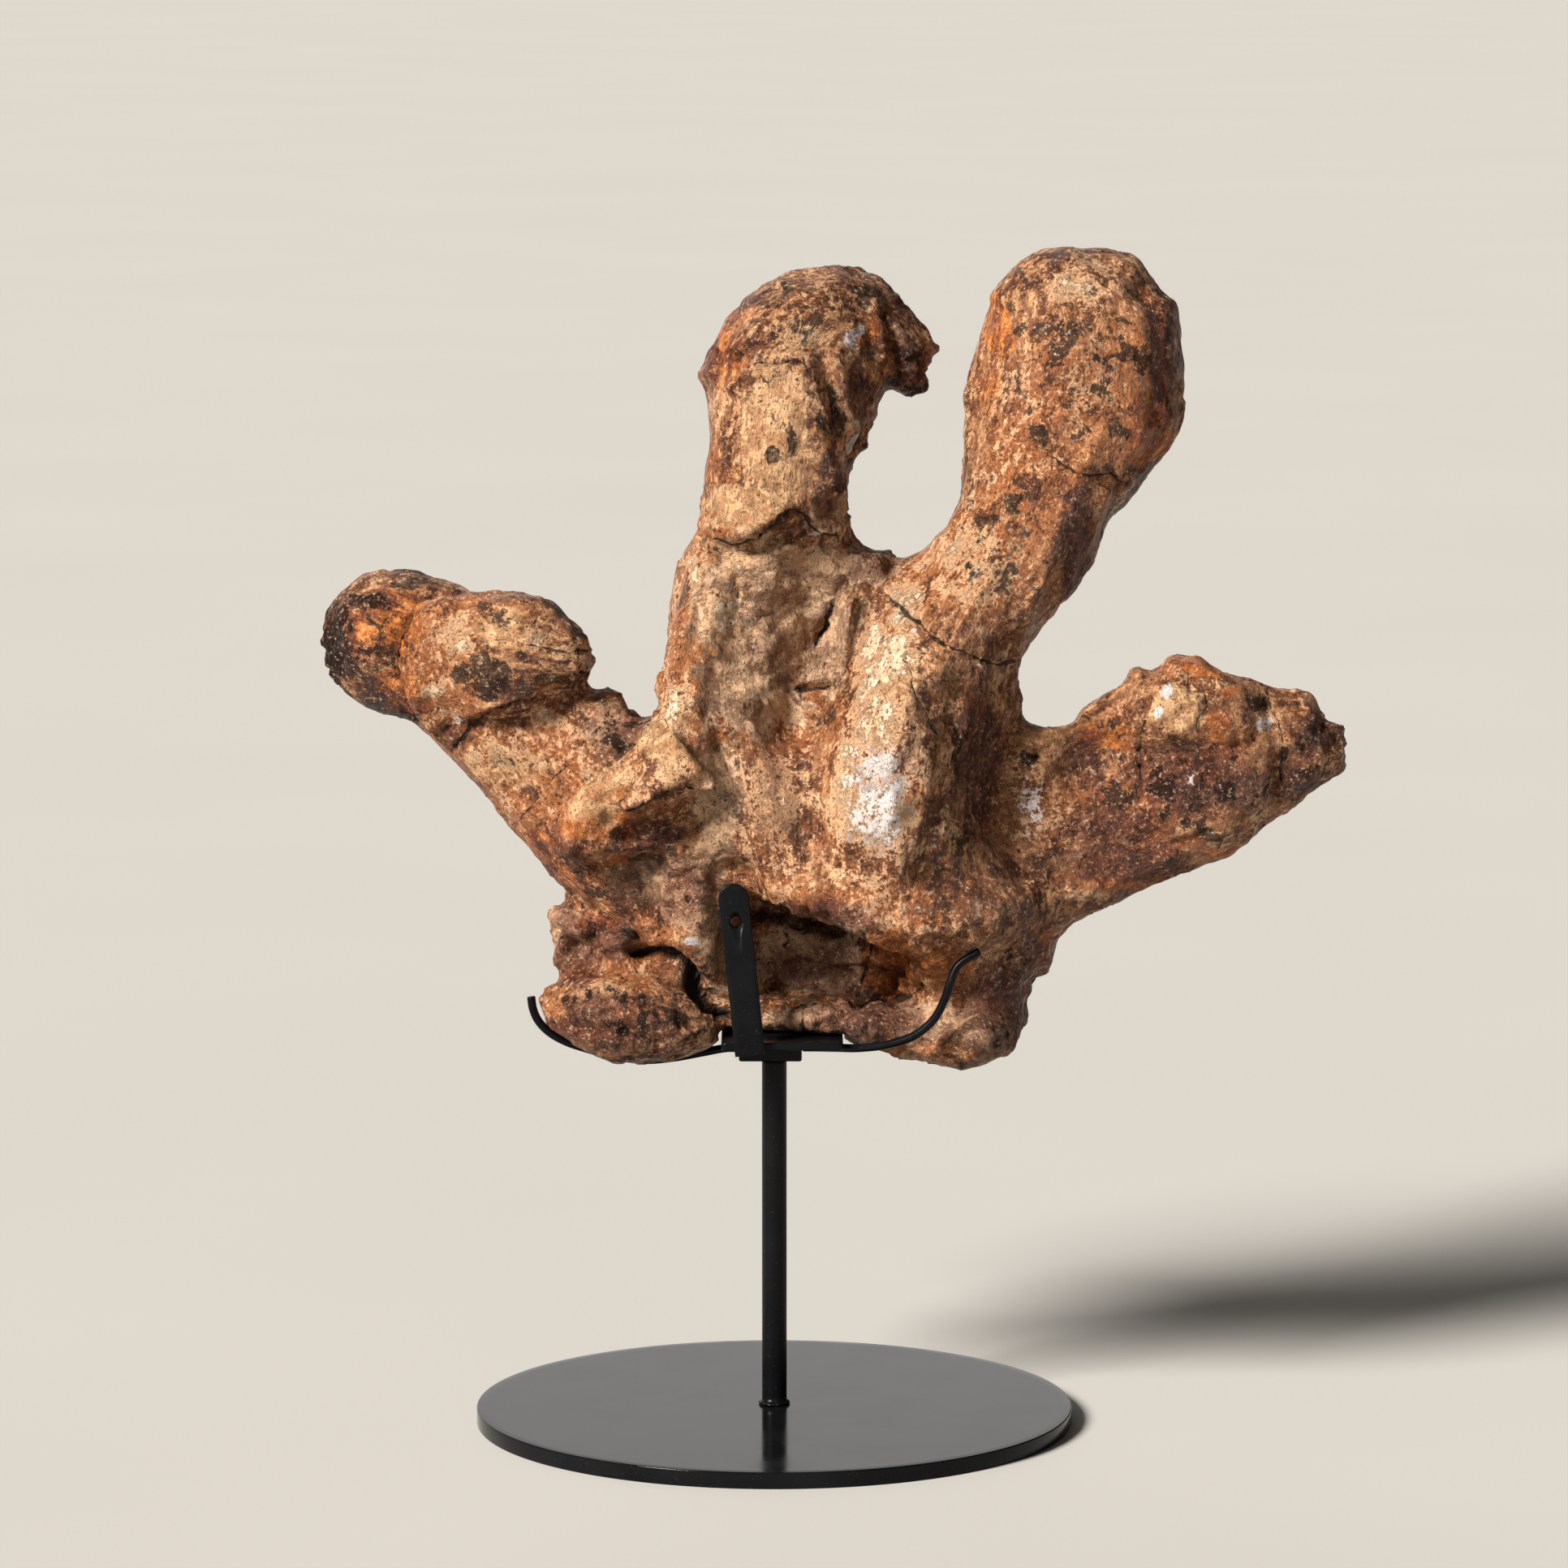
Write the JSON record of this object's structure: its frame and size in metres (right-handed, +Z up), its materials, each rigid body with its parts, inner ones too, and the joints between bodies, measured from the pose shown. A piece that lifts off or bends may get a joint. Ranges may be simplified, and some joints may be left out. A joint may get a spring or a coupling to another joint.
{
  "type": "fossil neck vertebra on a stand",
  "caption": "Fossil duck-billed dinosaur neck vertebra with two tall horns and two side processes, resting in a black steel cradle stand.",
  "frame": {"origin": "middle of the base disc's flat underside, under the post", "axes": "+Z up along the post, +X to the right as the picture shows it, the bone's front faces -Y"},
  "size_m": [0.3902, 0.2286, 0.4522],
  "materials": {
    "fossil_bone": "fossil bone, fibrous tan and rust brown with dark mineral patches, partly glossy from consolidant",
    "gloss_black_steel": "smooth gloss black paint",
    "satin_black_steel": "satin black powder coat with a fine grain"
  },
  "bodies": {
    "root": {"vertebra": "fossil_bone", "base_disc": "gloss_black_steel", "post": "satin_black_steel", "cradle_hub": "satin_black_steel", "rest_plate": "satin_black_steel", "front_strap": "satin_black_steel", "left_arm": "satin_black_steel", "right_arm": "satin_black_steel"}
  },
  "joints": []
}
